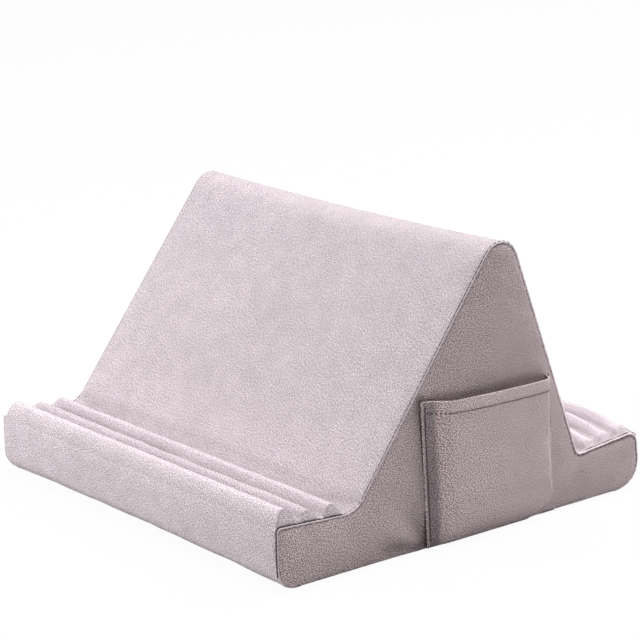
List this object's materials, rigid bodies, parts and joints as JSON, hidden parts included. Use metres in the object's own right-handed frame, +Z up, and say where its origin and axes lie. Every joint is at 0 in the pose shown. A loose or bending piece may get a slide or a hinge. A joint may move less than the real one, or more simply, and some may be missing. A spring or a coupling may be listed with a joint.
{
  "type": "tablet cushion stand",
  "caption": "Soft foam cushion stand for a tablet: ridged ledges in front and behind a sloping face, with a patch pocket on its right side.",
  "frame": {"origin": "middle of the base, on the surface the stand rests on", "axes": "+X across the stand to the pocket side, -Y towards the user, +Z up"},
  "size_m": [0.2692, 0.2287, 0.1461],
  "materials": {
    "cover_cloth": "matte suede-like cloth",
    "seam_edge": "folded cloth edge",
    "stitching": "sewing thread",
    "grip_dots": "matte silicone dots",
    "foam": "open-cell foam"
  },
  "bodies": {
    "root": {"foam_core": "foam", "top_panel": "cover_cloth", "base_panel": "cover_cloth", "left_side_panel": "cover_cloth", "right_side_panel": "cover_cloth", "left_seam_welt": "seam_edge", "right_seam_welt": "seam_edge", "ridge_end_front_left": "cover_cloth", "ridge_end_front_right": "cover_cloth", "ridge_end_rear_left": "cover_cloth", "ridge_end_rear_right": "cover_cloth", "phone_pocket": "cover_cloth"}
  },
  "joints": []
}
